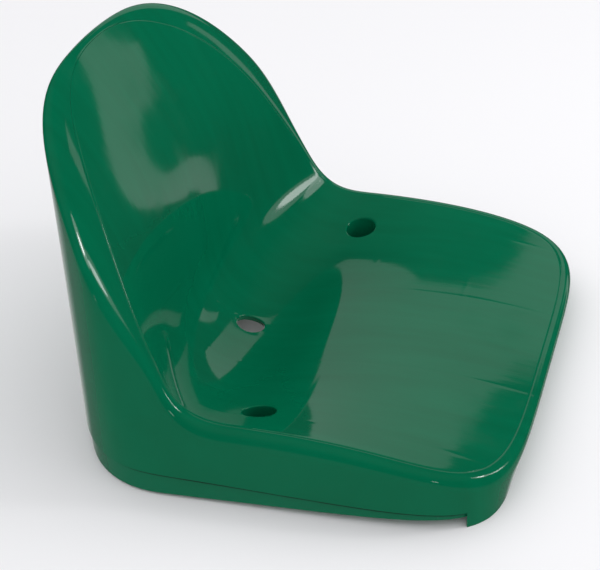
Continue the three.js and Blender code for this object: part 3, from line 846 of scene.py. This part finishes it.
studio = {
    "floorSize": 12, "floorPale": (0.905, 0.9, 0.908), "floorFleck": (0.89, 0.887, 0.893),
    "roomPale": (1.0, 1.0, 1.02),
    # what mirror reflections see: the floor, and for each axis the colour that takes over as a ray turns to it
    "floorInGloss": (0.17, 0.17, 0.17),
    "glossSteps": [
        ((0.3, 0, 1), -0.22, -0.08, (0.02, 0.02, 0.02)),  # dark room
        ((0, 0, 1), 0.55, 0.95, (0.1, 0.1, 0.1)),  # ceiling
        ((0.844, 0.248, -0.476), 0.86, 0.97, (0.6, 0.6, 0.6)),  # bright floor beyond the seat
    ],
    # each light: name, seen from, azimuth, elevation, distance, angles across and up, tilt, radiance
    "boxes": [  # oblong ones, seen in reflections only
        ("boxSide", (0.05, -0.07, 0.035), 104.5, 23.9, 3.03, 49.5, 20.6, 1.5, 0.43),
        ("boxStrip", (0, 0.1, 0.17), 61.6, -5.8, 3.8, 4.2, 45, -5.4, 0.5),
    ],
    "lamps": [  # round ones, that light the seat and the floor too
        ("lampKey", (0, 0, 0.08), 18, 37, 1.9, 6, 8, 0, 16),
        ("haloKey", (0, 0, 0.08), 18, 37, 1.95, 15, 18, 0, 2.6),
        ("lampFold", (0, 0.1, 0.1), 24, 20, 1.9, 5, 17, 31, 6),
        ("haloFold", (0, 0.1, 0.1), 25, 20, 1.95, 10, 27, 31, 1),
        ("lampLeft", (-0.2, -0.1, 0.05), -60, 22, 1.5, 6, 5, 0, 5),
    ],
    # daylight that creeps in under the seat
    "under": {"place": (0.03, 0.055, 0.01), "size": 0.07, "radiance": 0.11},
}


def makeFloor():
    bm = bmesh.new()
    bmesh.ops.create_grid(bm, x_segments=1, y_segments=1, size=studio["floorSize"])
    floor = finishMesh("floor", bm)
    material, nodes, links = newMaterial("floor_paper")
    shader = nodes["Principled BSDF"]
    paper = {"Colour": studio["floorPale"], "Fleck colour": studio["floorFleck"]}
    surface = placeGroup(nodes, links, "paper", paper)
    links.new(surface.outputs["Colour"], shader.inputs["Base Color"])
    links.new(surface.outputs["Roughness"], shader.inputs["Roughness"])
    floor.data.materials.append(material)
    floor.visible_glossy = False


def makeRoom():
    # pale for the eye and for soft light, dim for mirror reflections
    world = bpy.data.worlds.new("room")
    world.use_nodes = True
    nodes, links = world.node_tree.nodes, world.node_tree.links
    direction = nodes.new("ShaderNodeTexCoord").outputs["Generated"]
    colour = studio["floorInGloss"]
    for axis, low, high, reached in studio["glossSteps"]:
        dot, share = nodes.new("ShaderNodeVectorMath"), nodes.new("ShaderNodeMapRange")
        dot.operation = "DOT_PRODUCT"
        dot.inputs[1].default_value = axis
        share.inputs["From Min"].default_value, share.inputs["From Max"].default_value = low, high
        links.new(direction, dot.inputs[0])
        links.new(dot.outputs["Value"], share.inputs["Value"])
        colour = blendColours(world.node_tree, share.outputs["Result"], colour, reached)
    pale, dim = nodes["Background"], nodes.new("ShaderNodeBackground")
    path, blend = nodes.new("ShaderNodeLightPath"), nodes.new("ShaderNodeMixShader")
    pale.inputs["Color"].default_value = (*studio["roomPale"], 1)
    links.new(colour, dim.inputs["Color"])
    links.new(path.outputs["Is Glossy Ray"], blend.inputs["Fac"])
    links.new(pale.outputs["Background"], blend.inputs[1])
    links.new(dim.outputs["Background"], blend.inputs[2])
    links.new(blend.outputs["Shader"], nodes["World Output"].inputs["Surface"])
    bpy.context.scene.world = world


def addLight(name, shape, matrix, width, height, radiance):
    data = bpy.data.lights.new(name, "AREA")
    data.shape, data.size, data.size_y = shape, width, height
    area = width * height * (math.pi / 4 if shape == "ELLIPSE" else 1)
    data.energy = radiance * math.pi * area
    light = bpy.data.objects.new(name, data)
    light.matrix_world = matrix
    light.visible_camera = False
    bpy.context.scene.collection.objects.link(light)
    return light


def aimLight(shape, name, eye, azimuth, elevation, distance, across, upward, tilt, radiance):
    facing = towards(azimuth, elevation)
    side = Vector((0, 0, 1)).cross(facing).normalized()
    turn = Matrix((side, facing.cross(side), facing)).transposed()
    turn = turn @ Matrix.Rotation(math.radians(tilt), 3, "Z")
    place = Matrix.Translation(Vector(eye) + facing * distance)
    width, height = (2 * distance * math.tan(math.radians(angle) / 2) for angle in (across, upward))
    return addLight(name, shape, place @ turn.to_4x4(), width, height, radiance)


def makeLights():
    for values in studio["boxes"]:
        aimLight("RECTANGLE", *values).visible_diffuse = False
    for values in studio["lamps"]:
        aimLight("ELLIPSE", *values)
    under = studio["under"]
    place, size = Matrix.Translation(under["place"]), under["size"]
    addLight("lampUnder", "RECTANGLE", place, size, size, under["radiance"]).visible_glossy = False


makeFloor()
makeRoom()
makeLights()
bpy.context.scene.view_settings.view_transform = "Standard"
print("studio made")
